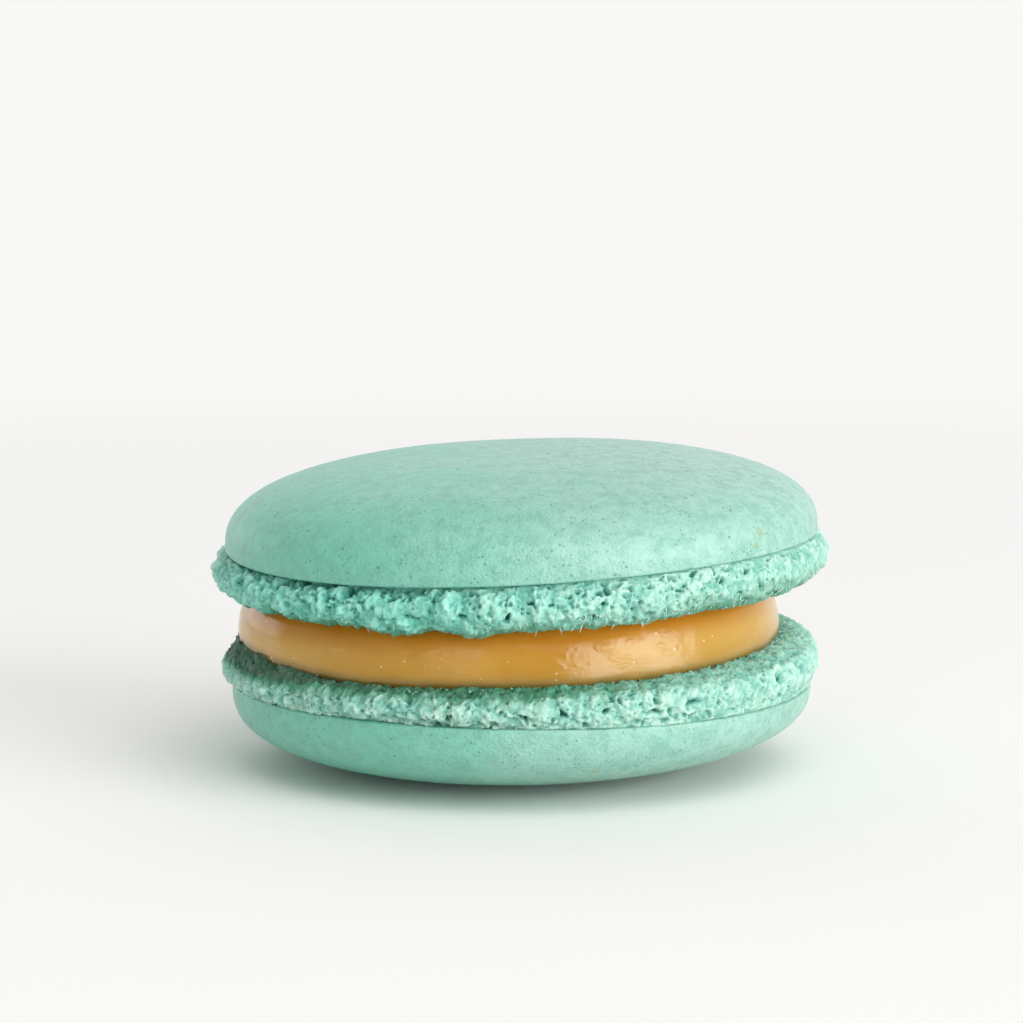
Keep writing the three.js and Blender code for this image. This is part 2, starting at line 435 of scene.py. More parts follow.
def torn_hollows(hollows, around, away, radius, bend):
    """The largest cavities, each
    depth exp(-q^2) with q = (along / half width)^2 + (across / half height)^2, which has a flat floor."""
    total = np.zeros_like(bend[..., 0])
    for middle, level, half_width, half_height, depth in hollows:
        along = radius * np.radians((np.degrees(around) - middle + 180) % 360 - 180) + bend[..., 0]
        across = away - level + bend[..., 1]
        total += depth * np.exp(-(((along / half_width) ** 2 + (across / half_height) ** 2) ** 2))
    return total


def sampled_outline(controls):
    """The spline's points: coarse steps on the hidden root and inner face, fine steps between."""
    dense, walked = spline_path(controls, 0.01)
    end = walked[-1]
    at = np.concatenate([
        np.arange(0, ROOT_END, COARSE_STEP),
        np.arange(ROOT_END, end - FACE_LENGTH, FINE_STEP),
        np.arange(end - FACE_LENGTH, end + COARSE_STEP / 2, COARSE_STEP),
    ])
    return np.stack([np.interp(at, walked, dense[:, i]) for i in range(2)], axis=-1), at


def foot_surface(
    dome, controls, seed, height_share,
    ruffles=(), bulges=(), tucks=(), ramp=(), hollows=(), left_shade=(), darkening=(),
):
    """Outline carried round, plus sponge along its normal. Returns the points and the colour attributes.
    A ramp raises the inner face, and the sponge is rougher on it."""
    path, walked = sampled_outline(controls)
    around = angles(FOOT_SIDES)
    beyond, away = path[:, :1], path[:, 1:]
    tangent = np.gradient(path, walked, axis=0)
    tangent /= np.linalg.norm(tangent, axis=1, keepdims=True)
    normal_out, normal_up = tangent[:, 1:], tangent[:, :1]
    share = np.clip(away / controls[-2][1], 0, 1)
    tuck = bells(tucks, around) * np.exp(-(((away - TUCK_LEVEL) / TUCK_SPREAD) ** 2))
    bulge = bells(bulges, around) * np.sin(math.pi * share) - tuck
    radius = dome["radius"] + beyond + bulge
    height = edge_wave(dome, around) * (1 - share)
    height = height - away * height_share(radius, around) - share * bells(ruffles, around)
    height = height - bells(ramp, around) * smooth_step(0.25, -0.8, beyond) * (away > 1)
    base = on_circle(radius, around, height)
    holes = 0.25 + 0.75 * np.exp(-(((away - TORN_LEVEL) / TORN_SPREAD) ** 2)) + 0 * around
    visible = smooth_step(ROOT_END, ROOT_END + 0.6, walked) * smooth_step(0, FACE_LENGTH, walked[-1] - walked)
    visible = visible[:, None]
    inner_face = smooth_step(0.25, -0.55, beyond) * (away > 1) + 0 * around
    roughened = 1 - 0.25 * inner_face + 0.5 * inner_face * bells(ramp, around)
    strength = visible * roughened * (0.93 - 0.17 * np.cos(around))
    bend = 0.16 * noise_vector(base, 0.5, seed + 50)
    rise = (sponge(base, holes, seed) - torn_hollows(hollows, around, away, radius, bend)) * strength
    points = on_circle(radius + rise * normal_out, around, height + rise * normal_up)
    points += (0.10 * strength)[..., None] * noise_vector(base, 0.7, seed + 20)
    points += (0.05 * strength)[..., None] * noise_vector(base, 0.3, seed + 24)
    # How proud, for painted light on crests and painted shade in hollows: three quarters against a wide blur,
    # one against a narrow one, each by its usual height
    relief_light_shade = 0.75 * (rise - blurred(rise, 90)) / 0.16 + 0.25 * (rise - blurred(rise, 8)) / 0.06
    root_middle = middle_row(-controls[0][1], FOOT_SIDES)
    face_middle = middle_row(points[-1, :, 2].mean(), FOOT_SIDES)
    points = np.concatenate([root_middle, points, face_middle])[::-1]
    # Fat stain with painted shade: on the inner face between the halves, most on the left, in the darkened
    # bands and on the ramp.
    fat_and_shade = inner_face * (0.50 - 0.38 * np.cos(around)) + smooth_step(0.25, 0.8, share) * bells(darkening, around)
    fat_and_shade = fat_and_shade + smooth_step(0.6, 0.85, share) * bells(ramp, around)
    # Attributes for painted light on crests, painted shade in hollows and on the front left, and fat stain
    # with painted shade.
    shades = {
        "relief_light_shade": relief_light_shade,
        "fat_and_shade": fat_and_shade,
        "share": share + 0 * around,
        "left_shade": bells(left_shade, around) + 0 * share,
    }
    return points, {key: with_ends(values)[::-1] for key, values in shades.items()}


def level_foot(radius, around):
    """The upper foot is as tall all round."""
    return 1.0


def leaning_foot(radius, around):
    """The lower foot is taller where the upper half leans up. Before it is turned over, +Y is its front."""
    return 1 + lean_height(radius * np.cos(around), -radius * np.sin(around)) / BOTTOM_FOOT[-2][1]


points, shades = foot_surface(
    TOP_DOME, TOP_FOOT, seed=31, height_share=level_foot, ruffles=TOP_RUFFLES, bulges=TOP_BULGES,
    tucks=TOP_TUCKS, hollows=TOP_HOLLOWS, left_shade=TOP_LEFT_SHADE, darkening=TOP_DARKENING,
)
top_foot = round_mesh("top_foot", lean_upper(points), **shades)
points, shades = foot_surface(
    BOTTOM_DOME, BOTTOM_FOOT, seed=57, height_share=leaning_foot, tucks=BOTTOM_TUCKS, ramp=BOTTOM_RAMP,
    hollows=BOTTOM_HOLLOWS, left_shade=BOTTOM_LEFT_SHADE, darkening=BOTTOM_DARKENING,
)
bottom_foot = round_mesh("bottom_foot", turn_over(points), **shades)

# %% [markdown]
# The caramel is a thick disc that was squeezed until its side swelled, most of all low down, so that the
# side looks a little upwards and mirrors the windows. It reaches a touch into both halves, as the real one
# sticks to them. Slow swells in its side bend the reflections.

# %% Filling
FILLING_RADIUS = 20.6
FILLING_SHIFT = (-1.2, -0.2)
FILLING_LOW = -8.25
FILLING_HIGH = -3.2
FILLING_SIDES = 900
FILLING_ROWS = 60
CONTACT = -0.82
CONTACT_RISE = 0.38
WIDEST_ABOVE_CONTACT = 0.10
SIDE_SLOPE = 0.52
SHOULDER = 0.8
SHOULDER_LINE = 0.05
ROLLED_UNDER = 0.35
LEFT_ROLL = 0.75
# Touched places: (degrees round, share down the side, half width in degrees, half height as a share)
HANDLED = [(-107, 0.46, 7, 0.17), (-66, 0.50, 12, 0.18), (-128, 0.40, 5, 0.10)]


def filling_surface(seed):
    """radius = R - slope above the widest line - squared roll below it - squared shoulder near the top.
    up runs from -1 at the lower edge to 1 at the upper. sqrt(x^2 + c) - sqrt(c) is a slope with a soft start.
    On the left the lower foot comes up to meet the filling, so there the widest line lies higher and the side
    rolls further under. Also returns how near each point is to that contact, for painted shade along it, how
    far down the side it is, for painted shade at the top and low down, and how much it was touched: a bell
    round the axis times a bell down the side for each touched place."""
    around = angles(FILLING_SIDES)
    up = np.linspace(-1, 1, FILLING_ROWS)[:, None]
    height = FILLING_LOW + (FILLING_HIGH - FILLING_LOW) * (up + 1) / 2
    left = bells([(205, 1.0, 38)], around)
    contact = CONTACT + CONTACT_RISE * bells(BOTTOM_RAMP, -around)
    widest = contact + WIDEST_ABOVE_CONTACT
    rolled = (ROLLED_UNDER + LEFT_ROLL * left) * np.clip((widest - up) / (1 + widest), 0, 1) ** 2
    above = np.clip(up - widest, 0, None)
    shoulder = SHOULDER * np.clip(up - SHOULDER_LINE, 0, None) ** 2
    radius = FILLING_RADIUS - SIDE_SLOPE * (np.sqrt(above**2 + 0.04) - 0.2) - shoulder - rolled
    base = on_circle(radius, around, height)
    radius = radius + 0.09 * soft_noise(base, 4.2, seed) + 0.030 * soft_noise(base, 1.5, seed + 1)
    # Painted shade along the contact with the lower foot.
    contact_shade = smooth_step(0.30, -0.04, up - contact + 0.05 * soft_noise(base, 1.1, seed + 2))
    depth = (1 - up) / 2 + 0 * around
    handled = 0 * depth
    for middle, level, half_width, half_height in HANDLED:
        handled += bells([(middle, 1, half_width)], around) * np.exp(-(((depth - level) / half_height) ** 2))
    side = on_circle(radius, around, height)
    low_middle, high_middle = middle_row(FILLING_LOW, FILLING_SIDES), middle_row(FILLING_HIGH, FILLING_SIDES)
    points = np.concatenate([low_middle, side, high_middle])
    shades = {"contact_shade": contact_shade, "depth": depth, "handled": handled}
    return points + np.array([*FILLING_SHIFT, 0]), {key: with_ends(values) for key, values in shades.items()}


points, shades = filling_surface(seed=41)
filling = round_mesh("caramel", lean_upper(points), **shades)

# %% [markdown]
# Small things finish the edges. When the upper half was pulled off its baking mat, threads of foam stayed
# on the foot's lower edge, mostly on the right: most bridge its dents, and some hang down. And crumbs lie
# where the filling meets the lower foot. Both are little spindles, a ring of five points between two tips,
# and each kind is one joined mesh.

# %% Threads and crumbs
THREAD_COUNT = 520
HANGING_SHARE = 0.16
THREAD_SPAN = 0.3
CRUMB_COUNT = 900
RING_POINTS = 5
chance = np.random.default_rng(5)


def spindles(name, places, axes, lengths, widths, ring_at, **attributes):
    """At each place a ring of points across the axis, closed by a tip before it and a tip after it."""
    count = len(places)
    axes = axes / np.linalg.norm(axes, axis=1, keepdims=True)
    across = np.cross(axes, chance.normal(size=(count, 3)))
    across /= np.linalg.norm(across, axis=1, keepdims=True)
    beside = np.cross(axes, across)
    turn = FULL_TURN * np.arange(RING_POINTS)[None, :, None] / RING_POINTS
    ring = np.cos(turn) * across[:, None] + np.sin(turn) * beside[:, None]
    reach = widths[:, None] * chance.uniform(0.6, 1.0, (count, RING_POINTS))
    ring = places[:, None] + ring * reach[..., None]
    start = places - axes * (lengths * ring_at)[:, None]
    end = places + axes * (lengths * (1 - ring_at))[:, None]
    points = np.concatenate([ring, start[:, None], end[:, None]], axis=1)
    first = np.arange(RING_POINTS)
    second = np.roll(first, -1)
    low = np.stack([second, first, np.full(RING_POINTS, RING_POINTS)], axis=-1)
    high = np.stack([first, second, np.full(RING_POINTS, RING_POINTS + 1)], axis=-1)
    faces = np.concatenate([low, high])[None] + (np.arange(count) * (RING_POINTS + 2))[:, None, None]
    mesh = bpy.data.meshes.new(name)
    mesh.from_pydata((points.reshape(-1, 3) * MM).tolist(), [], faces.reshape(-1, 3).tolist())
    for key, values in attributes.items():
        layer = mesh.attributes.new(key, "FLOAT", "POINT")
        layer.data.foreach_set("value", np.repeat(values, RING_POINTS + 2).astype(np.float32))
    piece = bpy.data.objects.new(name, mesh)
    bpy.context.scene.collection.objects.link(piece)
    print(name, count, "spindles,", len(mesh.polygons), "triangles")
    return piece


def foam_threads():
    """Most lie along the rounded lower edge of the upper foot and bridge its dents. The rest hang down."""
    around = np.radians(chance.normal(-48, 30, THREAD_COUNT))
    away = chance.uniform(2.0, 3.35, THREAD_COUNT)
    edge_beyond, edge_away = np.array(TOP_FOOT[5:-1]).T
    beyond = np.interp(away, edge_away, edge_beyond)
    below = np.interp(away + THREAD_SPAN / 2, edge_away, edge_beyond)
    above = np.interp(away - THREAD_SPAN / 2, edge_away, edge_beyond)
    steepness = np.hypot(below - above, THREAD_SPAN)
    tangent_out, tangent_down = (below - above) / steepness, THREAD_SPAN / steepness
    stand = chance.uniform(0.0, 0.20, THREAD_COUNT)
    radius = TOP_DOME["radius"] + beyond + stand * tangent_down
    height = edge_wave(TOP_DOME, around) * 0.2 - away - bells(TOP_RUFFLES, around) + stand * tangent_out
    hanging = chance.random(THREAD_COUNT) < HANGING_SHARE
    out = np.where(hanging, 0.2, tangent_out)
    down = np.where(hanging, 1.0, tangent_down)
    axes = on_circle(out, around, -down) + chance.normal(0, 0.25, (THREAD_COUNT, 3))
    lengths = 0.25 + 0.75 * chance.random(THREAD_COUNT) ** 2
    widths = chance.uniform(0.045, 0.095, THREAD_COUNT)
    turned = lean_upper(axes) - lean_upper(np.zeros(3))
    # The threads get the painted light of crests.
    shades = {
        "relief_light_shade": chance.uniform(0.5, 3.0, THREAD_COUNT),
        "share": np.ones(THREAD_COUNT),
        "fat_and_shade": np.full(THREAD_COUNT, -0.8),
    }
    places = lean_upper(on_circle(radius, around, height))
    return spindles("foam_threads", places, turned, lengths, widths, 0.4, **shades)


def foot_crumbs():
    """Round the filling, on the lower foot's inner face. cos(around) finds the shifted filling's edge."""
    around = chance.uniform(0, FULL_TURN, CRUMB_COUNT)
    radius = FILLING_RADIUS + FILLING_SHIFT[0] * np.cos(around) + chance.uniform(-0.5, 0.6, CRUMB_COUNT)
    beyond = radius - BOTTOM_DOME["radius"]
    face_beyond, face_away = np.array(BOTTOM_FOOT[:5:-1]).T
    away = np.interp(beyond, face_beyond, face_away) * leaning_foot(radius, around)
    away = away + bells(BOTTOM_RAMP, around) * smooth_step(0.25, -0.8, beyond)
    places = on_circle(radius, around, -away - chance.uniform(0, 0.18, CRUMB_COUNT))
    lengths = chance.uniform(0.14, 0.40, CRUMB_COUNT)
    axes = chance.normal(size=(CRUMB_COUNT, 3))
    # Crumbs get mostly the hollows' painted shade, and fat stain with painted shade, heavier on the left.
    shades = {
        "relief_light_shade": chance.uniform(-2.5, 0.8, CRUMB_COUNT),
        "share": np.ones(CRUMB_COUNT),
        "fat_and_shade": chance.uniform(0.0, 0.8, CRUMB_COUNT) - 0.5 * np.cos(around),
    }
    return spindles("foot_crumbs", turn_over(places), axes, lengths, lengths * 0.42, 0.5, **shades)


threads = foam_threads()
crumbs = foot_crumbs()

# %% [markdown]
# Materials next. A small maker keeps the node trees short: it adds a node, sets its values by name, and
# links whatever is itself a socket.

# %% Node helpers
def add_node(tree, kind, values=None, **settings):
    """Adds a node, sets its own settings, and for each input a value, or a link if the value is a socket."""
    node = tree.nodes.new(kind)
    for key, value in settings.items():
        setattr(node, key, value)
    for key, value in (values or {}).items():
        if isinstance(value, bpy.types.NodeSocket):
            tree.links.new(value, node.inputs[key])
        else:
            node.inputs[key].default_value = value
    return node


def math_node(tree, operation, a, b=0.0, clamp=False):
    """One number from two."""
    return add_node(tree, "ShaderNodeMath", {0: a, 1: b}, operation=operation, use_clamp=clamp).outputs[0]


def fade(tree, value, low, high):
    """0 where value is at low, 1 where it is at high, smooth between."""
    node = add_node(
        tree, "ShaderNodeMapRange", {"Value": value, "From Min": low, "From Max": high},
        interpolation_type="SMOOTHSTEP",
    )
    return node.outputs["Result"]


def mix_colour(tree, share, a, b):
    """Colour a where share is 0, colour b where it is 1."""
    node = add_node(tree, "ShaderNodeMix", {0: share, 6: a, 7: b}, data_type="RGBA")
    return node.outputs[2]


def swing(tree, noise, amount):
    """Noise that is 0.5 on average, turned to swing about 0 by this amount."""
    return math_node(tree, "MULTIPLY", math_node(tree, "SUBTRACT", noise, 0.5), amount)


def noise_node(tree, place, scale, detail=2.0, roughness=0.5):
    """Blender's own noise, about 0.5 on average."""
    values = {"Vector": place, "Scale": scale, "Detail": detail, "Roughness": roughness}
    return add_node(tree, "ShaderNodeTexNoise", values).outputs[0]


def new_material(name):
    """A new material, its tree, Object coordinates and Principled shader, which is linked to the output."""
    material = bpy.data.materials.new(name)
    material.use_nodes = True
    tree = material.node_tree
    tree.nodes.clear()
    place = tree.nodes.new("ShaderNodeTexCoord").outputs["Object"]
    shader = tree.nodes.new("ShaderNodeBsdfPrincipled")
    output = tree.nodes.new("ShaderNodeOutputMaterial")
    tree.links.new(shader.outputs[0], output.inputs["Surface"])
    return material, tree, place, shader


# %% [markdown]
# Ground almonds leave specks in the batter: tiny dark ones everywhere, and a few larger beige ones. The same
# pattern serves the foot's pinholes, painted dark as painted shade, and the painted glints in the caramel, so
# it is a node group: Voronoi cells, where only those whose random number lies under the wanted share show
# their middle as a speck.

# %% Almond specks
def make_specks_group():
    """Mask of specks: 1 in the middle of the few cells whose random colour is under the share."""
    group = bpy.data.node_groups.new("Almond specks", "ShaderNodeTree")
    group.interface.new_socket("Place", in_out="INPUT", socket_type="NodeSocketVector")
    for name, value in (("Cells", 900.0), ("Radius", 0.25), ("Share", 0.1)):
        group.interface.new_socket(name, in_out="INPUT", socket_type="NodeSocketFloat").default_value = value
    group.interface.new_socket("Mask", in_out="OUTPUT", socket_type="NodeSocketFloat")
    start = group.nodes.new("NodeGroupInput").outputs
    cells = add_node(group, "ShaderNodeTexVoronoi", {"Vector": start["Place"], "Scale": start["Cells"]})
    random = add_node(group, "ShaderNodeSeparateColor", {0: cells.outputs["Color"]}).outputs
    chosen = math_node(group, "LESS_THAN", random[0], start["Share"])
    radius = math_node(group, "MULTIPLY", start["Radius"], math_node(group, "ADD", random[1], 0.4))
    inside = math_node(group, "SUBTRACT", radius, cells.outputs["Distance"])
    soft = math_node(group, "MULTIPLY", inside, math_node(group, "DIVIDE", 3.0, start["Radius"]), clamp=True)
    mask = math_node(group, "MULTIPLY", soft, chosen)
    end = group.nodes.new("NodeGroupOutput")
    group.links.new(mask, end.inputs["Mask"])
    return group


SPECKS = make_specks_group()


def specks(tree, place, cells, radius, share):
    """The specks group placed in a material."""
    values = {"Place": place, "Cells": cells, "Radius": radius, "Share": share}
    return add_node(tree, "ShaderNodeGroup", values, node_tree=SPECKS).outputs["Mask"]


# %% [markdown]
# The skin is satin: matte from above, with a soft shine where it is seen at a low angle. Its colour isn't
# even. It is painted a deeper teal on the left, as painted shade, and a paler mint on the right, as painted
# light from the big window, with cloudy patches between. Dark specks of several sizes and a few blurred beige
# ones break it up, and the surface has the very fine dimples of dried batter.

# %% Skin finish
# The pale colour is painted light on the right, towards the big window, and the deep colour is painted shade
# on the left.
SKIN_LIT_PALE = (0.330, 0.575, 0.485, 1)
SKIN_SHADED_DEEP = (0.175, 0.548, 0.408, 1)
SKIN_GRAIN = (0.150, 0.400, 0.310, 1)
SPECK_TEAL = (0.050, 0.190, 0.155, 1)
SPECK_BEIGE = (0.300, 0.410, 0.200, 1)
# Dark specks: cells per metre, radius in cells, share of cells, strength
SPECK_SIZES = (
    (620, 0.09, 0.10, 0.70),
    (1000, 0.13, 0.13, 0.80),
    (1900, 0.18, 0.16, 0.65),
    (3600, 0.28, 0.26, 0.60),
)
LIT_SIDE_X = 0.013
SHADED_SIDE_X = -0.016


def make_skin_finish():
    """Colour from a fade across, painted shade to painted light, with clouds, then grain and specks. Fine
    noise makes the bump.
    """
    material, tree, place, shader = new_material("baked_skin")
    clouds = noise_node(tree, place, 160, 4, 0.6)
    across = add_node(tree, "ShaderNodeSeparateXYZ", {0: place}).outputs["X"]
    shifted = math_node(tree, "ADD", across, swing(tree, clouds, 0.030))
    # Painted shade on the left fading into painted light on the right.
    colour = mix_colour(tree, fade(tree, shifted, SHADED_SIDE_X, LIT_SIDE_X), SKIN_SHADED_DEEP, SKIN_LIT_PALE)
    mottle = noise_node(tree, place, 800, 5, 0.8)
    grainy = math_node(tree, "MULTIPLY", fade(tree, mottle, 0.38, 0.68), 0.70)
    colour = mix_colour(tree, grainy, colour, SKIN_GRAIN)
    beige = specks(tree, place, 420, 0.15, 0.22)
    colour = mix_colour(tree, math_node(tree, "MULTIPLY", beige, 0.60), colour, SPECK_BEIGE)
    for cells, radius, share, strength in SPECK_SIZES:
        dark = specks(tree, place, cells, radius, share)
        colour = mix_colour(tree, math_node(tree, "MULTIPLY", dark, strength), colour, SPECK_TEAL)
    tree.links.new(colour, shader.inputs["Base Color"])
    grain = noise_node(tree, place, 1300, 3, 0.6)
    peel = noise_node(tree, place, 4800, 2, 0.5)
    height = math_node(tree, "ADD", grain, math_node(tree, "MULTIPLY", peel, 0.8))
    bump = add_node(tree, "ShaderNodeBump", {"Strength": 0.9, "Distance": 0.00012, "Height": height})
    tree.links.new(bump.outputs[0], shader.inputs["Normal"])
    rough = add_node(tree, "ShaderNodeMapRange", {"Value": grain, "To Min": 0.44, "To Max": 0.58})
    tree.links.new(rough.outputs[0], shader.inputs["Roughness"])
    shader.inputs["Specular IOR Level"].default_value = 0.5
    shader.inputs["Coat Weight"].default_value = 0.32
    shader.inputs["Coat Roughness"].default_value = 0.27
    shader.inputs["Subsurface Weight"].default_value = 0.12
    shader.inputs["Subsurface Radius"].default_value = (0.7, 1.0, 0.9)
    shader.inputs["Subsurface Scale"].default_value = 0.0006
    return material


skin_finish = make_skin_finish()

# %% [markdown]
# The foot's crests are painted paler than the skin, as painted light, and its hollows deep teal, as painted
# shade: light that enters a bubble is coloured by its walls again and again. The attribute for how proud the
# sponge stands carries that. Near the caramel the sponge has soaked up fat, which makes it darker and a
# little olive, and there it is also painted darker as painted shade between the halves, most on the left.
# Painted shade darkens the recess under the skin's edge and gives the front left a deeper tint. Pinholes too
# small for the mesh are dark specks of painted shade.

# %% Foot finish
# The crest colour is painted light and the hollow colour painted shade; the tint is painted shade on the
# front left; the fat colours are fat stain with painted shade.
CREST_LIT = (0.55, 0.79, 0.67, 1)
MIDDLE = (0.195, 0.50, 0.405, 1)
HOLLOW_SHADE = (0.012, 0.20, 0.155, 1)
FAT_STAIN_AND_SHADE = (0.042, 0.250, 0.135, 1)
FAT_DEEP_AND_SHADE = (0.028, 0.095, 0.045, 1)
LEFT_SHADE_TINT = (0.62, 0.98, 0.95, 1)
PINHOLE_SHADES = ((1500, 0.20, 0.16, 0.80), (2900, 0.26, 0.22, 0.70))


def make_foot_finish():
    """Colour from the attributes: painted light on crests, painted shade in hollows, under the skin's edge
    and on the front left, a stain with painted shade near the caramel. Bump from granules.
    """
    material, tree, place, shader = new_material("sponge_foot")
    relief_light_shade = add_node(tree, "ShaderNodeAttribute", attribute_name="relief_light_shade").outputs["Fac"]
    fat_and_shade = add_node(tree, "ShaderNodeAttribute", attribute_name="fat_and_shade").outputs["Fac"]
    left_shade = add_node(tree, "ShaderNodeAttribute", attribute_name="left_shade").outputs["Fac"]
    from_edge = add_node(tree, "ShaderNodeAttribute", attribute_name="share").outputs["Fac"]
    blotch = noise_node(tree, place, 560, 5, 0.7)
    # Painted light on what stands proud, fading to the middle colour.
    lifted = math_node(tree, "ADD", relief_light_shade, swing(tree, blotch, 5.5))
    colour = mix_colour(tree, fade(tree, lifted, -1.2, 2.4), MIDDLE, CREST_LIT)
    # A deeper tint on the front left, as painted shade.
    tinted = add_node(
        tree, "ShaderNodeMix", {0: left_shade, 6: colour, 7: LEFT_SHADE_TINT}, data_type="RGBA", blend_type="MULTIPLY",
    )
    # Painted shade in the recess under the skin's edge, deeper on the front left.
    shaded = math_node(tree, "ADD", math_node(tree, "MULTIPLY", left_shade, 0.50), 0.08)
    tucked_shade = math_node(tree, "MULTIPLY", fade(tree, from_edge, 0.36, 0.08), shaded)
    colour = mix_colour(tree, tucked_shade, tinted.outputs[2], HOLLOW_SHADE)
    # Painted shade in the deepest hollows.
    colour = mix_colour(tree, fade(tree, relief_light_shade, -0.9, -3.0), colour, HOLLOW_SHADE)
    # Pinholes painted dark: painted shade.
    for cells, radius, share, strength in PINHOLE_SHADES:
        pinhole_shade = specks(tree, place, cells, radius, share)
        colour = mix_colour(tree, math_node(tree, "MULTIPLY", pinhole_shade, strength), colour, HOLLOW_SHADE)
    # Fat stain and painted shade near the caramel.
    darkening = math_node(tree, "ADD", fat_and_shade, swing(tree, blotch, 2.0))
    stain_and_shade = math_node(tree, "MULTIPLY", fade(tree, darkening, 0.05, 1.0), 0.92)
    fat_and_shade_colour = mix_colour(tree, fade(tree, fat_and_shade, 0.75, 1.25), FAT_STAIN_AND_SHADE, FAT_DEEP_AND_SHADE)
    colour = mix_colour(tree, stain_and_shade, colour, fat_and_shade_colour)
    tree.links.new(colour, shader.inputs["Base Color"])
    grain = noise_node(tree, place, 6000, 3, 0.6)
    granules = add_node(tree, "ShaderNodeTexVoronoi", {"Vector": place, "Scale": 3300}).outputs["Distance"]
    height = math_node(tree, "SUBTRACT", math_node(tree, "MULTIPLY", grain, 0.8), granules)
    bump = add_node(tree, "ShaderNodeBump", {"Strength": 0.65, "Distance": 0.00011, "Height": height})
    tree.links.new(bump.outputs[0], shader.inputs["Normal"])
    shader.inputs["Roughness"].default_value = 0.55
    shader.inputs["Subsurface Weight"].default_value = 0.22
    shader.inputs["Subsurface Radius"].default_value = (0.5, 1.0, 0.9)
    shader.inputs["Subsurface Scale"].default_value = 0.0005
    return material


foot_finish = make_foot_finish()

# %% [markdown]
# Caramel is glossy, and light sinks a little into it, so its thin ends are painted lighter than its middle,
# as painted light. It is painted darker at the top under the upper foot, low down and along the lower foot,
# as painted shade, and small pale specks are painted glints. Its gloss is not perfect: where it was touched,
# fine flat wrinkles break up the windows' reflections.

# %% Caramel finish
# The ends colour is painted light; the top, low and contact colours are painted shade; the pale speck colour
# is painted glints.
CARAMEL = (0.575, 0.315, 0.046, 1)
CARAMEL_DEEP = (0.490, 0.230, 0.020, 1)
CARAMEL_ENDS_LIT = (0.610, 0.355, 0.078, 1)
CARAMEL_TOP_SHADE = (0.560, 0.205, 0.012, 1)
CARAMEL_LOW_SHADE = (0.300, 0.185, 0.030, 1)
CARAMEL_CONTACT_SHADE = (0.140, 0.100, 0.020, 1)
PAINTED_GLINT = (0.95, 0.85, 0.62, 1)


def make_caramel_finish():
    """Colour by how far down the side, with painted shade and painted light, bump from marks and, where it
    was touched, flat wrinkles.
    """
    material, tree, place, shader = new_material("soft_caramel")
    clouds = fade(tree, noise_node(tree, place, 120, 3, 0.5), 0.35, 0.7)
    colour = mix_colour(tree, clouds, CARAMEL, CARAMEL_DEEP)
    across = add_node(tree, "ShaderNodeSeparateXYZ", {0: place}).outputs["X"]
    sideways = math_node(tree, "ABSOLUTE", across)
    # Painted light towards both thin ends.
    colour = mix_colour(tree, fade(tree, sideways, 0.005, 0.018), colour, CARAMEL_ENDS_LIT)
    depth = add_node(tree, "ShaderNodeAttribute", attribute_name="depth").outputs["Fac"]
    # Painted shade low down the side.
    low_shade = math_node(tree, "MULTIPLY", fade(tree, depth, 0.52, 0.92), 0.60)
    colour = mix_colour(tree, low_shade, colour, CARAMEL_LOW_SHADE)
    # Painted shade at the top, under the upper foot.
    colour = mix_colour(tree, fade(tree, depth, 0.52, 0.12), colour, CARAMEL_TOP_SHADE)
    contact_shade = add_node(tree, "ShaderNodeAttribute", attribute_name="contact_shade").outputs["Fac"]
    # Painted shade along the contact with the lower foot.
    colour = mix_colour(tree, math_node(tree, "MULTIPLY", contact_shade, 0.85), colour, CARAMEL_CONTACT_SHADE)
    # Small pale specks: painted glints.
    painted_glints = math_node(tree, "MULTIPLY", specks(tree, place, 1700, 0.11, 0.34), 0.7)
    colour = mix_colour(tree, painted_glints, colour, PAINTED_GLINT)
    tree.links.new(colour, shader.inputs["Base Color"])
    marks = noise_node(tree, place, 1400, 4, 0.6)
    rough = add_node(tree, "ShaderNodeMapRange", {"Value": marks, "To Min": 0.10, "To Max": 0.24})
    tree.links.new(rough.outputs[0], shader.inputs["Roughness"])
    handled = add_node(tree, "ShaderNodeAttribute", attribute_name="handled").outputs["Fac"]
    patchy = fade(tree, noise_node(tree, place, 600, 2, 0.5), 0.34, 0.56)
    touched = math_node(tree, "ADD", math_node(tree, "MULTIPLY", handled, patchy), 0.06)
    flattened = add_node(tree, "ShaderNodeVectorMath", {0: place, 1: (0.5, 0.5, 1.3)}, operation="MULTIPLY")
    streaks = noise_node(tree, flattened.outputs[0], 3000, 3, 0.6)
    wrinkles = math_node(tree, "MULTIPLY", streaks, touched)
    height = math_node(tree, "ADD", math_node(tree, "MULTIPLY", marks, 0.10), wrinkles)
    bump = add_node(tree, "ShaderNodeBump", {"Strength": 1.0, "Distance": 0.00012, "Height": height})
    tree.links.new(bump.outputs[0], shader.inputs["Normal"])
    shader.inputs["Specular IOR Level"].default_value = 0.44
    shader.inputs["Subsurface Weight"].default_value = 0.35
    shader.inputs["Subsurface Radius"].default_value = (1.0, 0.45, 0.12)
    shader.inputs["Subsurface Scale"].default_value = 0.002
    return material


caramel_finish = make_caramel_finish()

# %% [markdown]
# Every piece gets its finish and rides on the one body. Each row also names the solid of the imported model
# that it stands for, which is hidden, and a material slot, which is not used here.

# %% Pieces onto the frame
PIECES = [
    (top_skin, "top_shell", "shell", skin_finish),
    (top_foot, "top_shell", "shell", foot_finish),
    (filling, "filling", "filling", caramel_finish),
    (bottom_foot, "bottom_shell", "shell", foot_finish),
    (threads, "top_shell", "shell", foot_finish),
    (crumbs, "bottom_shell", "shell", foot_finish),
    (bottom_skin, "bottom_shell", "shell", skin_finish),
]
for piece, node, slot, finish in PIECES:
    piece.data.materials.append(finish)
    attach(piece, "root")
    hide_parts(node)

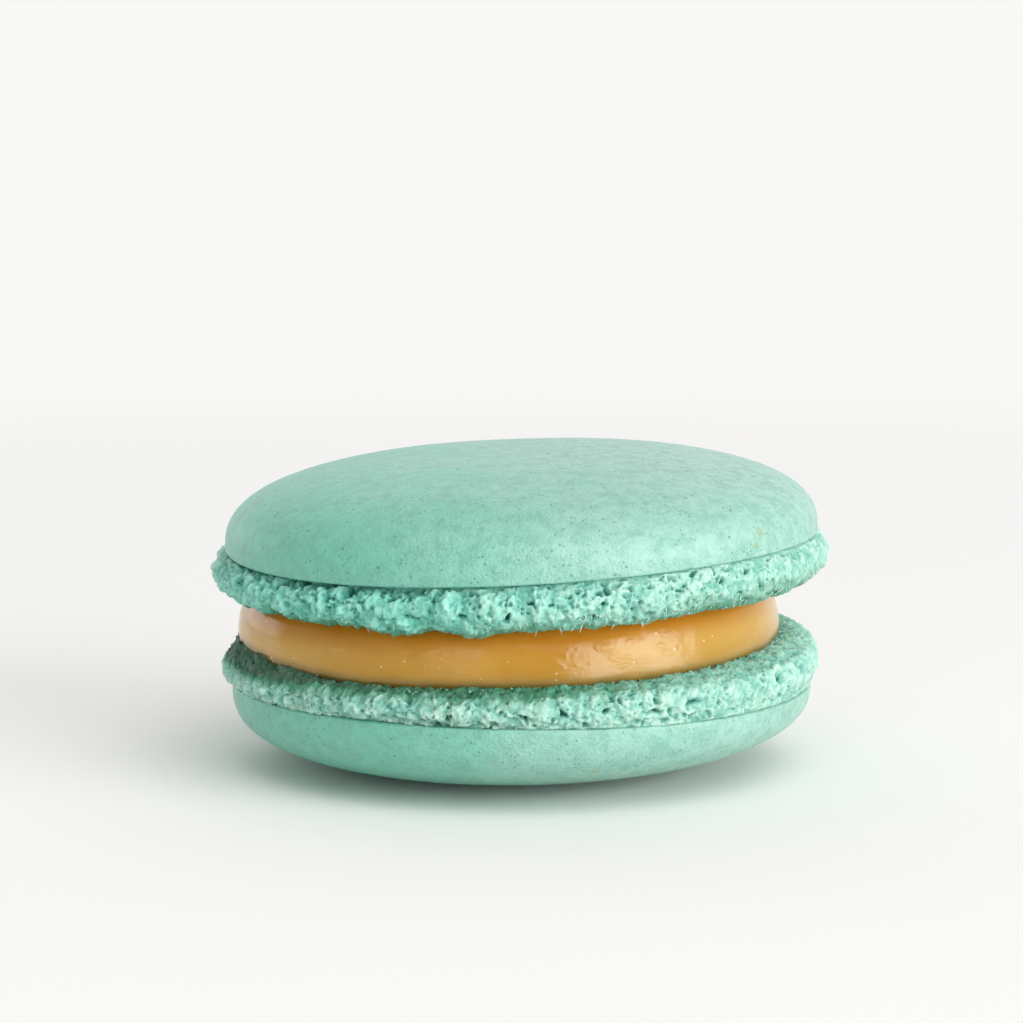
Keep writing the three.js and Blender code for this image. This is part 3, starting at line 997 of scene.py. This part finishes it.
# %% [markdown]
# The studio is white paper, a surround that is brighter behind the macaron than in front of it, a large
# low window to the right of the camera, a weak small one to the left, a white panel overhead, and a weak
# reflector at the back left. The big window's shadow falls softly to the left. The paper is lit where the
# macaron stands, and further away it turns into the same plain white that the camera sees behind it, so
# that no horizon shows.

# %% Floor, surround and windows
BACKDROP = (0.947, 0.939, 0.922, 1)
PAPER = (0.915, 0.905, 0.889, 1)
FLOOR_SIZE = 6
FADE_FROM = 0.10
FADE_TO = 0.45
SURROUND_FRONT = 0.395
SURROUND_BACK = 0.65
SURROUND_TOP = 0.28


def make_floor():
    """White paper that fades into the glowing backdrop further away."""
    half = FLOOR_SIZE / 2
    mesh = bpy.data.meshes.new("paper_floor")
    corners = [(-half, -half, 0), (half, -half, 0), (half, half, 0), (-half, half, 0)]
    mesh.from_pydata(corners, [], [(0, 1, 2, 3)])
    floor = bpy.data.objects.new("paper_floor", mesh)
    bpy.context.scene.collection.objects.link(floor)
    material, tree, place, shader = new_material("paper")
    shader.inputs["Base Color"].default_value = PAPER
    shader.inputs["Roughness"].default_value = 0.9
    shader.inputs["Specular IOR Level"].default_value = 0.1
    away = add_node(tree, "ShaderNodeVectorMath", {0: place}, operation="LENGTH").outputs["Value"]
    far = fade(tree, away, FADE_FROM, FADE_TO)
    glow = add_node(tree, "ShaderNodeEmission", {"Color": BACKDROP})
    mixed = add_node(tree, "ShaderNodeMixShader", {0: far, 1: shader.outputs[0], 2: glow.outputs[0]})
    output = next(n for n in tree.nodes if n.type == "OUTPUT_MATERIAL")
    tree.links.new(mixed.outputs[0], output.inputs["Surface"])
    mesh.materials.append(material)


def make_surround():
    """Front, plus more towards the back (+Y), plus some overhead. The camera sees the plain backdrop."""
    world = bpy.data.worlds.new("surround")
    bpy.context.scene.world = world
    world.use_nodes = True
    tree = world.node_tree
    tree.nodes.clear()
    direction = tree.nodes.new("ShaderNodeTexCoord").outputs["Generated"]
    towards = add_node(tree, "ShaderNodeSeparateXYZ", {0: direction}).outputs
    behind = math_node(tree, "MULTIPLY", fade(tree, towards["Y"], 0.3, 0.98), SURROUND_BACK)
    overhead = math_node(tree, "MULTIPLY", fade(tree, towards["Z"], 0.45, 1.0), SURROUND_TOP)
    strength = math_node(tree, "ADD", math_node(tree, "ADD", behind, overhead), SURROUND_FRONT)
    around = add_node(tree, "ShaderNodeBackground", {"Color": (1, 1, 1, 1), "Strength": strength})
    backdrop = add_node(tree, "ShaderNodeBackground", {"Color": BACKDROP})
    seen = tree.nodes.new("ShaderNodeLightPath").outputs["Is Camera Ray"]
    sky = add_node(tree, "ShaderNodeMixShader", {0: seen, 1: around.outputs[0], 2: backdrop.outputs[0]})
    output = tree.nodes.new("ShaderNodeOutputWorld")
    tree.links.new(sky.outputs[0], output.inputs["Surface"])


def make_window(name, azimuth, elevation, distance, size, power):
    """A soft rectangular light that faces the macaron. Azimuth 0 is at the camera, positive to the right."""
    azimuth, elevation = math.radians(azimuth), math.radians(elevation)
    towards = Vector((
        math.sin(azimuth) * math.cos(elevation),
        -math.cos(azimuth) * math.cos(elevation),
        math.sin(elevation),
    ))
    light = bpy.data.lights.new(name, "AREA")
    light.shape = "RECTANGLE"
    light.size, light.size_y = size
    light.energy = power
    lamp = bpy.data.objects.new(name, light)
    lamp.location = towards * distance + Vector((0, 0, 0.012))
    lamp.rotation_euler = towards.to_track_quat("Z", "Y").to_euler()
    bpy.context.scene.collection.objects.link(lamp)


make_floor()
make_surround()
# name, azimuth, elevation, distance in metres, size in metres, power in watts
make_window("big_window", 53, 12.5, 1.6, (1.5, 0.8), 22.5)
make_window("small_window", -22, 14, 1.6, (0.6, 0.7), 2.0)
make_window("left_reflector", -130, 12, 1.6, (1.0, 0.6), 1.5)
make_window("ceiling_panel", 30, 55, 1.6, (1.4, 1.4), 9.2)
bpy.context.scene.view_settings.view_transform = "Standard"
